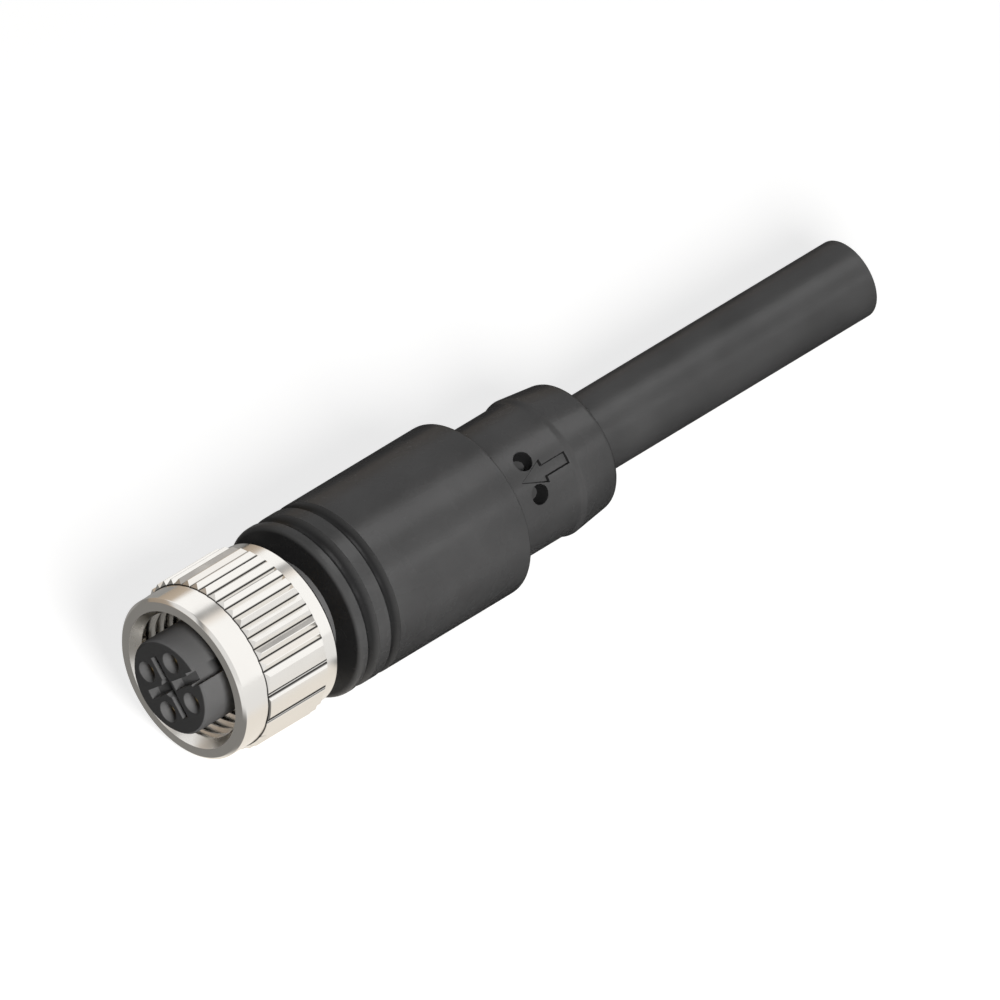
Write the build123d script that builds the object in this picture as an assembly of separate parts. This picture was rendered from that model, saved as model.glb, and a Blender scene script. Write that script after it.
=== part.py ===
from build123d import *
import os
from math import cos, radians, sin

# A round sensor cable: a moulded grip with a four-way socket insert and a screwed coupling nut
# at its front end, and a cut length of round four-core cable at its back.
# Millimetres. The origin is the centre of the nut's front plane, +X runs along the axis towards
# the cable and +Z is up. Angles round the axis are measured from +Z towards -Y.

# Coupling nut, outside
nut_length = 10.4
ring_radius = 7.0
ring_edge = 0.27
knurl_front = 2.53
knurl_back = 9.04
knurl_ramp = 0.35
knurl_radius = 7.4
knurl_root_radius = 7.03
knurl_teeth = 45
index_angle = 93.4
index_gap_teeth = 6
index_land_radius = 7.2
index_land_angle = 13.8
index_flute_angles = (20.0, 24.4)

# Coupling nut, inside
thread_radius = 5.46
thread_mouth_radius = 5.97
thread_mouth_depth = 0.9
thread_length = 5.0
thread_relief_radius = 6.05
thread_relief_length = 0.6
nut_bore_radius = 5.42
nut_bore_edge = 0.25

# Snap ring that holds the nut on the insert
snap_ring_thickness = 0.7
snap_ring_front = 8.95
snap_ring_depth = 1.12
snap_ring_gap_angle = 34.0
snap_ring_turn_angle = 228.0
snap_groove_depth = 0.62

# Insert that carries the contacts
insert_radius = 4.1
insert_proud = 1.39
insert_edge = 0.2
insert_seat_start = 6.0
insert_seat_radius = 3.9
insert_barrel_end = 7.2
insert_shoulder_end = 8.9
insert_neck_radius = 4.75
insert_flange_radius = 5.6
insert_flange = (13.2, 14.6)
insert_tail_radius = 4.4
insert_end = 16.0
key_angle = 48.2
keyway_width = 1.23
keyway_floor = 2.93
face_recess_depth = 1.0
face_slot_width = 0.8
face_slot_reach = 2.7
face_arm_reach = 2.85
face_hub_radius = 0.9
face_web = (0.45, 0.65)

# Socket contacts
contact_circle_radius = 2.5
contact_angles = (45.0, -45.0, -135.0, 135.0)
contact_bore_radius = 0.53
contact_bore_depth = 7.5
contact_radius = 0.78
contact_collar_radius = 0.96
contact_collar = (9.05, 10.2)
contact_body_radius = 0.7
contact_tail_radius = 0.62
contact_tail_start = 14.0
contact_end = 18.0
contact_slit_width = 0.24
contact_slit_length = 4.6
entry_radius = 0.58
entry_end_radius = 0.56
entry_mouth_radius = 0.925
entry_mouth_depth = 0.61
entry_length = 0.94
crimp_depth = 3.5

# Seal that sits in the insert's seat, against its shoulder
seal_section_radius = 0.5

# Grip
grip_front = 12.16
grip_radius = 7.5
grip_front_round = 0.5
grip_groove_1 = (12.98, 14.3)
grip_groove_2 = (15.5, 16.6)
grip_groove_depth = 0.5
barrel_end = 30.9
barrel_end_round = 0.3
neck_radius = 5.75
neck_end = 37.8
collar_front = 38.5
collar_front_radius = 6.0
collar_end = 42.3
collar_end_radius = 5.5
collar_end_round = 0.5
arrow_tip = 33.0
arrow_head_end = 35.35
arrow_half_width = 0.96
arrow_shaft_half_width = 0.48
arrow_depth = 0.25
pin_mark_radius = 0.775
pin_mark_depth = 1.3
pin_mark_place = 34.1
pin_mark_angle = 14.8

# Cable
cable_radius = 3.35
cable_end = 72.65
jacket_wall = 1.1
jacket_start = 28.5
core_radius = 0.65
core_circle_radius = 1.05
conductor_radius = 0.38
core_start = 18.3
core_bend_start = 19.6
core_bend_end = 26.0
core_bend_radius = 8.0

# Clearances
bearing_clearance = 0.07
seat_clearance = 0.02
snap_ring_side_clearance = 0.05
seal_seat_clearance = 0.02
wire_clearance = 0.01
cut_margin = 1.0

insert_shoulder_radius = nut_bore_radius - bearing_clearance
snap_groove_radius = nut_bore_radius + snap_groove_depth
snap_ring_radius = snap_groove_radius - bearing_clearance
jacket_bore_radius = cable_radius - jacket_wall
chamber_radius = contact_radius + seat_clearance
chamber_wide_radius = contact_collar_radius + seat_clearance
contact_front = entry_length - insert_proud + seat_clearance


def around(x, angle, radius):
    """The point at a place along the axis, an angle round it and a radius from it."""
    return Vector(x, -radius * sin(radians(angle)), radius * cos(radians(angle)))


def turned(corners):
    """A solid turned about the axis from corners given as place and radius."""
    return revolve(Plane.XZ * make_face(Polyline(*corners, close=True)), Axis.X)


def rod(start, end, radius):
    """A round rod along X."""
    return Pos(start, 0, 0) * extrude(Plane.YZ * Circle(radius), end - start)


def bar(start, end, width, low, high):
    """A square bar along X, centred on the XZ plane, between two heights."""
    corner_box = Box(end - start, width, high - low)
    return Pos((start + end) / 2, 0, (low + high) / 2) * corner_box


def knurl_corners():
    """The knurl's corners from one side of the index land round to the other."""
    pitch = 360.0 / knurl_teeth
    half_gap = index_gap_teeth * pitch / 2
    flute = [(index_land_angle / 2, index_land_radius)]
    flute += [(angle / 2, knurl_root_radius) for angle in index_flute_angles]
    teeth = []
    for tooth in range(knurl_teeth - index_gap_teeth):
        teeth.append((half_gap + tooth * pitch, knurl_radius))
        teeth.append((half_gap + (tooth + 0.5) * pitch, knurl_root_radius))
    teeth.append((360.0 - half_gap, knurl_radius))
    far_flute = [(360.0 - angle, radius) for angle, radius in reversed(flute)]
    return [around(0, angle, radius) for angle, radius in flute + teeth + far_flute]


def knurl_blank():
    """The knurled band, with a ramp at each end down to the plain rings."""
    corners = knurl_corners()
    land = ThreePointArc(corners[-1], around(0, 0, index_land_radius), corners[0])
    section = make_face([Polyline(*corners), land])
    band = Pos(knurl_front, 0, 0) * extrude(section, knurl_back - knurl_front, dir=(1, 0, 0))
    slope = knurl_ramp / (knurl_radius - ring_radius)
    rise = knurl_radius - ring_radius + cut_margin
    limits = turned([
        (knurl_front, 0),
        (knurl_front, ring_radius),
        (knurl_front + rise * slope, ring_radius + rise),
        (knurl_back - rise * slope, ring_radius + rise),
        (knurl_back, ring_radius),
        (knurl_back, 0),
    ])
    return Rot(index_angle, 0, 0) * band & limits


def coupling_nut():
    """The knurled nut: a screwed bore in front and a plain bearing bore with a ring groove behind."""
    rings = turned([
        (0, 0),
        (0, ring_radius - ring_edge),
        (ring_edge, ring_radius),
        (nut_length - ring_edge, ring_radius),
        (nut_length, ring_radius - ring_edge),
        (nut_length, 0),
    ])
    relief_start = thread_mouth_depth + thread_length
    relief_end = relief_start + thread_relief_length
    groove_start = snap_ring_front - snap_ring_side_clearance
    groove_end = snap_ring_front + snap_ring_thickness + snap_ring_side_clearance
    bore = turned([
        (-cut_margin, 0),
        (-cut_margin, thread_mouth_radius),
        (0, thread_mouth_radius),
        (thread_mouth_depth, thread_radius),
        (relief_start, thread_radius),
        (relief_start, thread_relief_radius),
        (relief_end, thread_relief_radius),
        (relief_end, nut_bore_radius),
        (groove_start, nut_bore_radius),
        (groove_start, snap_groove_radius),
        (groove_end, snap_groove_radius),
        (groove_end, nut_bore_radius),
        (nut_length - nut_bore_edge, nut_bore_radius),
        (nut_length, nut_bore_radius + nut_bore_edge),
        (nut_length + cut_margin, nut_bore_radius + nut_bore_edge),
        (nut_length + cut_margin, 0),
    ])
    return rings + knurl_blank() - bore


def snap_ring():
    """The split spring ring that sits in the nut's groove and stops behind the insert's shoulder."""
    end = snap_ring_front + snap_ring_thickness
    ring = rod(snap_ring_front, end, snap_ring_radius)
    ring -= rod(snap_ring_front, end, snap_ring_radius - snap_ring_depth)
    reach = 2 * snap_ring_radius
    half = snap_ring_gap_angle / 2
    wedge = make_face(Polyline(
        (0, 0, 0),
        around(0, -half, reach),
        around(0, half, reach),
        close=True,
    ))
    gap = Pos(snap_ring_front, 0, 0) * extrude(wedge, snap_ring_thickness, dir=(1, 0, 0))
    return ring - Rot(snap_ring_turn_angle, 0, 0) * gap


def seal_ring():
    """The round-section seal in front of the insert's shoulder."""
    place = insert_barrel_end - seal_section_radius - seal_seat_clearance
    centre_radius = insert_seat_radius + seal_section_radius + seal_seat_clearance
    section = Plane.XZ * Pos(place, centre_radius) * Circle(seal_section_radius)
    return revolve(section, Axis.X)


def face_recesses():
    """The mould recesses in the insert's face, with the keyway at the top."""
    front = -insert_proud - cut_margin
    floor = face_recess_depth - insert_proud
    half_width = face_slot_width / 2
    web_low, web_high = face_web
    arm = bar(front, floor, face_slot_width, -face_arm_reach, web_low)
    slot = bar(front, floor, 2 * face_slot_reach, -half_width, half_width)
    hub = rod(front, floor, face_hub_radius) - bar(
        front, floor, 2 * face_hub_radius, web_low, face_hub_radius + cut_margin
    )
    upper_arm = bar(front, floor, face_slot_width, web_high, keyway_floor + cut_margin)
    return arm + slot + hub + upper_arm


def contact_chamber(angle):
    """One contact's way through the insert: flared mouth, drafted entry and stepped chamber."""
    mouth = entry_mouth_depth - insert_proud
    chamber_start = entry_length - insert_proud
    bore = turned([
        (-insert_proud - cut_margin, 0),
        (-insert_proud - cut_margin, entry_mouth_radius),
        (-insert_proud, entry_mouth_radius),
        (mouth, entry_radius),
        (chamber_start, entry_end_radius),
        (chamber_start, chamber_radius),
        (contact_collar[0], chamber_radius),
        (contact_collar[0], chamber_wide_radius),
        (insert_end + cut_margin, chamber_wide_radius),
        (insert_end + cut_margin, 0),
    ])
    return Pos(around(0, angle, contact_circle_radius)) * bore


def contact_carrier():
    """The moulded insert, from its mating face to the flange that the grip is moulded round."""
    flange_start, flange_end = insert_flange
    body = turned([
        (-insert_proud, 0),
        (-insert_proud, insert_radius - insert_edge),
        (-insert_proud + insert_edge, insert_radius),
        (insert_seat_start, insert_radius),
        (insert_seat_start, insert_seat_radius),
        (insert_barrel_end, insert_seat_radius),
        (insert_barrel_end, insert_shoulder_radius),
        (insert_shoulder_end, insert_shoulder_radius),
        (insert_shoulder_end, insert_neck_radius),
        (flange_start, insert_neck_radius),
        (flange_start, insert_flange_radius),
        (flange_end, insert_flange_radius),
        (flange_end, insert_tail_radius),
        (insert_end, insert_tail_radius),
        (insert_end, 0),
    ])
    body -= bar(
        -insert_proud - cut_margin,
        insert_barrel_end,
        keyway_width,
        keyway_floor,
        insert_radius + cut_margin,
    )
    body -= face_recesses()
    for angle in contact_angles:
        body -= contact_chamber(angle)
    return Rot(key_angle, 0, 0) * body


def socket_contact(angle):
    """A turned socket contact: slit spring barrel, locating collar and crimp tail."""
    collar_start, collar_end = contact_collar
    body = turned([
        (contact_front, contact_bore_radius),
        (contact_front, contact_radius),
        (collar_start + seat_clearance, contact_radius),
        (collar_start + seat_clearance, contact_collar_radius),
        (collar_end, contact_collar_radius),
        (collar_end, contact_body_radius),
        (contact_tail_start, contact_body_radius),
        (contact_tail_start, contact_tail_radius),
        (contact_end, contact_tail_radius),
        (contact_end, conductor_radius + wire_clearance),
        (contact_end - crimp_depth, conductor_radius + wire_clearance),
        (contact_end - crimp_depth, 0),
        (contact_front + contact_bore_depth, 0),
        (contact_front + contact_bore_depth, contact_bore_radius),
    ])
    body -= bar(
        contact_front - cut_margin,
        contact_front + contact_slit_length,
        contact_slit_width,
        -contact_radius - cut_margin,
        contact_radius + cut_margin,
    )
    place = around(0, key_angle + angle, contact_circle_radius)
    return Pos(place) * Rot(key_angle + angle, 0, 0) * body


def core_path(angle, start):
    """A core's line: straight out of its contact, in to the middle of the cable and along it."""
    return FilletPolyline(
        around(start, key_angle + angle, contact_circle_radius),
        around(core_bend_start, key_angle + angle, contact_circle_radius),
        around(core_bend_end, key_angle + angle, core_circle_radius),
        around(cable_end, key_angle + angle, core_circle_radius),
        radius=core_bend_radius,
    )


def swept(angle, start, radius, bore=None):
    """A round wire or tube along a core's line."""
    section = Circle(radius) - Circle(bore) if bore else Circle(radius)
    plane = Plane(
        origin=around(start, key_angle + angle, contact_circle_radius),
        x_dir=(0, 1, 0),
        z_dir=(1, 0, 0),
    )
    return sweep(plane * section, path=core_path(angle, start))


def core(angle):
    """The coloured insulation of one core."""
    return swept(angle, core_start, core_radius, conductor_radius + wire_clearance)


def conductor(angle):
    """The bare wire of one core, from the bottom of its contact's tail to the cut end."""
    start = contact_end - crimp_depth + seat_clearance
    return swept(angle, start, conductor_radius)


def inner_mould():
    """The first moulding, which holds the contact tails and cores before the grip goes on."""
    start = insert_end + seat_clearance
    end = jacket_start - seat_clearance
    body = rod(start, end, insert_tail_radius)
    for angle in contact_angles:
        centre = around(0, key_angle + angle, contact_circle_radius)
        tail_radius = contact_tail_radius + seat_clearance
        body -= Pos(centre) * rod(start, core_start, tail_radius)
        body -= swept(angle, core_start - seat_clearance, core_radius + seat_clearance)
    return body


def grip_profile():
    """The grip's half section, drawn as place and radius, from the front face round to the cavity."""
    front_round = grip_front + grip_front_round
    half_round = grip_front_round * (1 - cos(radians(45)))
    end_round = barrel_end_round * (1 - cos(radians(45)))
    collar_round = collar_end_round * (1 - cos(radians(45)))
    flange_start, flange_end = insert_flange
    neck_hole = insert_neck_radius + seat_clearance
    flange_hole = insert_flange_radius + seat_clearance
    tail_hole = insert_tail_radius + seat_clearance
    cable_hole = cable_radius + seat_clearance
    groove_floor = grip_radius - grip_groove_depth
    return [
        Line((grip_front, neck_hole), (grip_front, grip_radius - grip_front_round)),
        ThreePointArc(
            (grip_front, grip_radius - grip_front_round),
            (grip_front + half_round, grip_radius - half_round),
            (front_round, grip_radius),
        ),
        Line((front_round, grip_radius), (grip_groove_1[0], grip_radius)),
        ThreePointArc(
            (grip_groove_1[0], grip_radius),
            (sum(grip_groove_1) / 2, groove_floor),
            (grip_groove_1[1], grip_radius),
        ),
        Line((grip_groove_1[1], grip_radius), (grip_groove_2[0], grip_radius)),
        ThreePointArc(
            (grip_groove_2[0], grip_radius),
            (sum(grip_groove_2) / 2, groove_floor),
            (grip_groove_2[1], grip_radius),
        ),
        Line((grip_groove_2[1], grip_radius), (barrel_end - barrel_end_round, grip_radius)),
        ThreePointArc(
            (barrel_end - barrel_end_round, grip_radius),
            (barrel_end - end_round, grip_radius - end_round),
            (barrel_end, grip_radius - barrel_end_round),
        ),
        Polyline(
            (barrel_end, grip_radius - barrel_end_round),
            (barrel_end, neck_radius),
            (neck_end, neck_radius),
        ),
        Spline(
            (neck_end, neck_radius),
            (collar_front, collar_front_radius),
            tangents=[(1, 0), (1, 0)],
        ),
        Line(
            (collar_front, collar_front_radius),
            (collar_end - collar_end_round, collar_end_radius),
        ),
        ThreePointArc(
            (collar_end - collar_end_round, collar_end_radius),
            (collar_end - collar_round, collar_end_radius - collar_round),
            (collar_end, collar_end_radius - collar_end_round),
        ),
        Polyline(
            (collar_end, collar_end_radius - collar_end_round),
            (collar_end, cable_hole),
            (jacket_start - seat_clearance, cable_hole),
            (jacket_start - seat_clearance, tail_hole),
            (flange_end + seat_clearance, tail_hole),
            (flange_end + seat_clearance, flange_hole),
            (flange_start - seat_clearance, flange_hole),
            (flange_start - seat_clearance, neck_hole),
            (grip_front, neck_hole),
        ),
    ]


def arrow_recess():
    """The arrow sunk in the neck, which points at the mating face in line with the keyway."""
    outline = make_face(Polyline(
        (arrow_tip, 0),
        (arrow_head_end, arrow_half_width),
        (arrow_head_end, arrow_shaft_half_width),
        (neck_end, arrow_shaft_half_width),
        (neck_end, -arrow_shaft_half_width),
        (arrow_head_end, -arrow_shaft_half_width),
        (arrow_head_end, -arrow_half_width),
        close=True,
    ))
    prism = extrude(outline, neck_radius + cut_margin)
    return prism - rod(arrow_tip, neck_end, neck_radius - arrow_depth)


def pin_mark(side):
    """One of the two blind holes that the mould's core pins leave beside the arrow."""
    hole = extrude(Circle(pin_mark_radius), pin_mark_depth + cut_margin)
    placed = Pos(pin_mark_place, 0, neck_radius - pin_mark_depth) * hole
    return Rot(side * pin_mark_angle, 0, 0) * placed


def grip_body():
    """The overmoulded grip: ribbed barrel, neck with the arrow, and the collar round the cable."""
    body = revolve(Plane.XZ * make_face(grip_profile()), Axis.X)
    marks = arrow_recess() + pin_mark(1) + pin_mark(-1)
    return body - Rot(key_angle, 0, 0) * marks


def cable_jacket():
    """The cable's outer sheath."""
    return rod(jacket_start, cable_end, cable_radius) - rod(
        jacket_start, cable_end, jacket_bore_radius
    )


def cable_filler():
    """The soft filling between the cores and the sheath."""
    body = rod(jacket_start, cable_end, jacket_bore_radius - seat_clearance)
    for angle in contact_angles:
        centre = around(0, key_angle + angle, core_circle_radius)
        body -= Pos(centre) * rod(jacket_start, cable_end, core_radius + wire_clearance)
    return body


core_colours = ("brown", "white", "blue", "black")
parts = {
    "coupling_nut": coupling_nut(),
    "snap_ring": snap_ring(),
    "seal_ring": seal_ring(),
    "contact_carrier": contact_carrier(),
    "inner_mould": inner_mould(),
    "grip_body": grip_body(),
    "cable_jacket": cable_jacket(),
    "cable_filler": cable_filler(),
}
for number, (angle, colour) in enumerate(zip(contact_angles, core_colours), 1):
    parts[f"socket_contact_{number}"] = socket_contact(angle)
    parts[f"core_{colour}"] = core(angle)
    parts[f"conductor_{colour}"] = conductor(angle)

os.makedirs("parts", exist_ok=True)
for name, shape in parts.items():
    export_step(shape, f"parts/{name}.step")
print("Bends of the cores, radius in mm:", core_bend_radius)
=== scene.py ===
"""The looks of a round sensor cable, laid out as an add-on: nut, insert, grip, cable and stage."""
from math import atan2, ceil, cos, pi, radians, sin, sqrt

import bmesh
import bpy
from bpy.props import (
    FloatProperty,
    FloatVectorProperty,
    IntProperty,
    PointerProperty,
)
from mathutils import Matrix, Vector


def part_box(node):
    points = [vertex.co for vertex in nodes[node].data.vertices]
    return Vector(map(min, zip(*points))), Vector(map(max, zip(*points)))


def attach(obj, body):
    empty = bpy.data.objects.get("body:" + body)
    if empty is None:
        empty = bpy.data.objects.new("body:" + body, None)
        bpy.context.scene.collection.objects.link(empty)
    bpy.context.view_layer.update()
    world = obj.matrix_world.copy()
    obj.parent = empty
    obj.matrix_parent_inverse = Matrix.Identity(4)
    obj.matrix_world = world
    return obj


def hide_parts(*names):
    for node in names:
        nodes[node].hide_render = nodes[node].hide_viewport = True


bl_info = {
    "name": "Round sensor cable",
    "version": (1, 0, 0),
    "blender": (4, 5, 0),
    "location": "View3D > Sidebar > Sensor cable",
    "description": "Dresses a four-way sensor connector and its cable",
    "category": "Object",
}

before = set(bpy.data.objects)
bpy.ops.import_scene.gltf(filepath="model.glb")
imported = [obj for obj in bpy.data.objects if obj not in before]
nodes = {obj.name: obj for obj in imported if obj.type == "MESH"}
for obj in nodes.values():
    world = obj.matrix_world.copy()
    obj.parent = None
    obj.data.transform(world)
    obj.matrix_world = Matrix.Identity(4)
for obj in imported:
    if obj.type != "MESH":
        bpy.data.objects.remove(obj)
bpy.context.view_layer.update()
MM = 0.001
NUT_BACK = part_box("coupling_nut")[1].x
INSERT_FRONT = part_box("contact_carrier")[0].x
GRIP_LOW, GRIP_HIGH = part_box("grip_body")
JACKET_LOW, JACKET_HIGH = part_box("cable_jacket")
NUT_BODY = "nut"
GRIP_BODY = "grip"

# Steps round a turned piece
SHEATH_STEPS = 96
NUT_STEPS = 180

# Points closer than this are one
MERGE = 0.0005 * MM
CAD_MERGE = 0.001 * MM

# Most of a noise's values lie between these
NOISE_LOW = 0.35
NOISE_HIGH = 0.65

# Tool marks in a metre of turned metal, and their depth
TOOL_MARKS = 9000.0
TOOL_MARK_DEPTH = 0.0008 * MM

# How far from the roots the painted shade is full, and where it ends
KNURL_PAINTED_SHADE = (0.03 * MM, 0.08 * MM)
THREAD_PAINTED_SHADE = (0.08 * MM, 0.22 * MM)

# How deep in a groove its painted shade is full, and where it ends, in groove depths
GROOVE_PAINTED_SHADE = (0.9, 0.2)

# The grip's two round grooves, each from its start to its end, and the gap to the next ring
GROOVES = ((12.98 * MM, 14.3 * MM), (15.5 * MM, 16.6 * MM))
GROOVE_GAP = 0.01 * MM

# The grip's mesh at its sunk marks: fine step, gap to the next ring, margin before the
# arrow's tip, reach in mark angles, and the step round the rest
FINE_STEP = 0.032 * MM
RING_GAP = 0.03 * MM
MARK_MARGIN = 0.2 * MM
MARK_REACH = 1.9
COARSE_TURN = radians(3.0)

# Cosine of the lean past which a face of the neck is a sunk mark's wall
WALL_LEAN = 0.8

# Points of a wire's end are this close to it, and its route has a point at each step
WIRE_END = 0.01 * MM
ROUTE_STEP = 4 * MM

# The strands' ring and the whole wire, in strand radii
STRAND_RING = 2.02
WIRE_STRANDS = 3.05

CORE_TONES = {
    "brown": (0.13, 0.052, 0.024),
    "white": (0.80, 0.80, 0.77),
    "blue": (0.02, 0.09, 0.36),
    "black": (0.012, 0.012, 0.012),
}

# How far the lamps and the camera stand off, in metres
STAND_OFF = 0.5

# Softboxes: name, way to them, width, power and tone
SOFTBOXES = (
    ("key softbox", (-0.42, -0.74, 0.52), 0.14, 2.5, (1.0, 0.99, 0.97)),
    ("back softbox", (0.60, 0.78, 0.18), 0.14, 0.75, (0.97, 0.98, 1.0)),
)

# The floor's slanting cards end along lines on which X plus this much of Y stays the same
BEHIND_SLANT = -0.69
BEFORE_SLANT = 0.38

# The floor's own light near the object and far off, and how much a mirror sees of its tones
FLOOR_GLOW = (0.75, 1.02)
MIRRORED_SHARE = 0.8

# The studio's light rises from the first to the second between two leans along X
STUDIO_ENDS = (-0.5, 0.3)
STUDIO_LIGHT = (0.85, 1.15)

# Strips that the moulded pieces mirror: name, degrees from the top, width and power
STRIPS = (("wide strip", 10.0, 0.23, 1.7), ("narrow strip", 62.0, 0.08, 0.45))

# The mirrored studio's walls: place round the cable from 0 to 1, and tone
WALLS = (
    (0.18, (0.25, 0.21, 0.17)), (0.27, (0.42, 0.35, 0.28)), (0.315, (0.50, 0.42, 0.34)),
    (0.340, (1.0, 1.0, 1.0)), (0.425, (1.0, 1.0, 1.0)), (0.445, (0.38, 0.38, 0.38)),
    (0.462, (0.40, 0.39, 0.38)), (0.485, (0.85, 0.80, 0.75)), (0.51, (1.0, 1.0, 1.0)),
    (0.80, (1.0, 1.0, 1.0)), (0.90, (0.80, 0.76, 0.70)),
)


# Sizes and colours that a user would change

def length(name, description, default):
    return FloatProperty(name=name, description=description, default=default, unit="LENGTH")


def angle(name, description, default):
    return FloatProperty(
        name=name, description=description, default=radians(default), subtype="ANGLE"
    )


def colour(name, description, default):
    return FloatVectorProperty(
        name=name, description=description, default=default, subtype="COLOR", size=3,
        min=0.0, max=1.0,
    )


class NutSizes(bpy.types.PropertyGroup):
    """Sizes of the knurled coupling nut"""
    ring_radius: length("Ring radius", "Radius of the plain rings", 7.0 * MM)
    ring_edge: length("Ring edge", "Bevel on the rings' outer edges", 0.27 * MM)
    band_start: length("Band start", "Where the knurled band begins", 2.53 * MM)
    band_end: length("Band end", "Where the knurled band ends", 9.04 * MM)
    ramp: length("Ramp", "Length of the slope at each end of the band", 0.35 * MM)
    crest_radius: length("Crest radius", "Radius at the teeth's crests", 7.4 * MM)
    root_radius: length("Root radius", "Radius at the teeth's roots", 7.03 * MM)
    crest_flat: length("Crest flat", "Width of the flat on each crest", 0.08 * MM)
    tooth_foot: length("Tooth foot", "How deep the teeth's feet go into the rings", 0.06 * MM)
    land_radius: length("Land radius", "Radius of the index land", 7.2 * MM)
    teeth: IntProperty(name="Teeth", description="Teeth in a full turn", default=45)
    gap_teeth: IntProperty(name="Land gap", description="Pitches that the land takes", default=6)
    land_place: angle("Land place", "Where the index land is, from the top", 93.4)
    land_angle: angle("Land angle", "How far round the index land goes", 13.8)
    flute_near: angle("Flute near edge", "Angle between the land's two flutes", 20.0)
    flute_far: angle("Flute far edge", "Angle to the flutes' far floor edges", 24.4)
    flute_crown: length("Flute crown", "Height of a flute's crown over the roots", 0.08 * MM)
    flute_lip: angle("Flute lip", "Angle that a flute's far slope takes", 0.6)
    mouth_radius: length("Mouth radius", "Radius of the bore's mouth", 5.97 * MM)
    mouth_depth: length("Mouth depth", "Depth of the mouth's bevel", 0.9 * MM)
    lead_flat: length("Lead flat", "Plain stretch behind the mouth's bevel", 0.10 * MM)
    lead_end: length("Lead end", "From the bevel to the thread's full depth", 0.45 * MM)
    thread_core: length("Thread core", "Radius at the thread's crests", 5.46 * MM)
    thread_root: length("Thread root", "Radius at the thread's roots", 6.0 * MM)
    thread_pitch: length("Thread pitch", "Distance from turn to turn", 1.0 * MM)
    thread_end: length("Thread end", "Where the thread stops", 5.9 * MM)
    relief_radius: length("Relief radius", "Radius of the relief behind the thread", 6.05 * MM)
    relief_end: length("Relief end", "Where the relief stops", 6.5 * MM)
    bore_radius: length("Bore radius", "Radius of the bearing bore", 5.42 * MM)
    bore_edge: length("Bore edge", "Bevel on the bore's back edge", 0.25 * MM)
    groove_start: length("Groove start", "Front of the snap ring's groove", 8.9 * MM)
    groove_end: length("Groove end", "Back of the snap ring's groove", 9.7 * MM)
    groove_radius: length("Groove radius", "Radius of the snap ring's groove", 6.04 * MM)
    round_over: length("Round-over", "Rounding of the turned edges", 0.04 * MM)
    plate: colour("Plate", "Colour of the nickel plate", (0.82, 0.80, 0.765))
    # Painted shade: the plate is darkened to this at the roots of the knurl, the flutes and the
    # thread, where shade falls.
    valley_shade: colour("Valley", "Colour of the plate in the valleys", (0.045, 0.043, 0.04))


class InsertLooks(bpy.types.PropertyGroup):
    """Finish of the insert, its contacts and the small parts round it"""
    edge: length("Edge", "Rounding of the moulded edges", 0.02 * MM)
    # The insert is one moulding: its sides are toned paler as painted light and its mating face
    # darker as painted shade.
    plastic: colour("Plastic", "Colour of the insert", (0.135, 0.135, 0.137))
    face: colour("Face", "Colour of the insert's mating face", (0.058, 0.058, 0.059))
    gold: colour("Gold", "Colour of the contacts", (0.86, 0.64, 0.27))
    steel: colour("Steel", "Colour of the snap ring", (0.56, 0.57, 0.59))
    rubber: colour("Rubber", "Colour of the seal", (0.02, 0.02, 0.021))
    inner: colour("Inner mould", "Colour of the inner mould", (0.62, 0.60, 0.55))


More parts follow.
